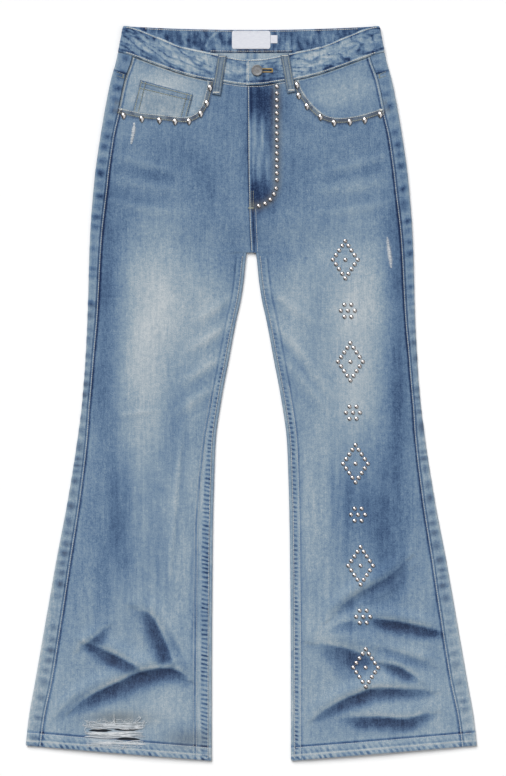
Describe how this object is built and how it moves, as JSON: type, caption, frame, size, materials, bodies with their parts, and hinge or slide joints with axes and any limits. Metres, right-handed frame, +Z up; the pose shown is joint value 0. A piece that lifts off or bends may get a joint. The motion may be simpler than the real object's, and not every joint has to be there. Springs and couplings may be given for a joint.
{
  "type": "flared jeans laid flat",
  "caption": "Washed denim flared jeans laid flat, front up: fly with shank button, curved studded pockets, a studded leg, belt loops and wide hems, one of them ripped.",
  "frame": {"origin": "on the surface below the middle of the whole garment", "axes": "+Y along the legs to the waist, +X to the wearer's left, +Z up out of the front"},
  "size_m": [0.6774, 1.1024, 0.013],
  "materials": {
    "denim": "washed cotton twill",
    "denim_pale": "faded cotton twill",
    "stitching": "cream sewing thread",
    "rip_thread": "bare white weft",
    "stud_metal": "polished",
    "button_metal": "satin",
    "zip_brass": "satin",
    "label_satin": "white satin"
  },
  "bodies": {
    "root": {"front_right": "denim", "front_left": "denim", "back_right": "denim", "back_left": "denim", "yoke_right": "denim", "yoke_left": "denim", "waistband": "denim", "pocket_facing_right": "denim_pale", "pocket_facing_left": "denim_pale", "coin_pocket": "denim_pale", "back_pocket_right": "denim", "back_pocket_left": "denim", "fly_shield": "denim", "fly_zip": "zip_brass", "belt_loop_front_right": "denim", "belt_loop_front_left": "denim", "belt_loop_side_right": "denim", "belt_loop_side_left": "denim", "belt_loop_back": "denim", "shank_button": "button_metal", "waist_label": "label_satin", "size_tab": "label_satin"}
  },
  "joints": []
}
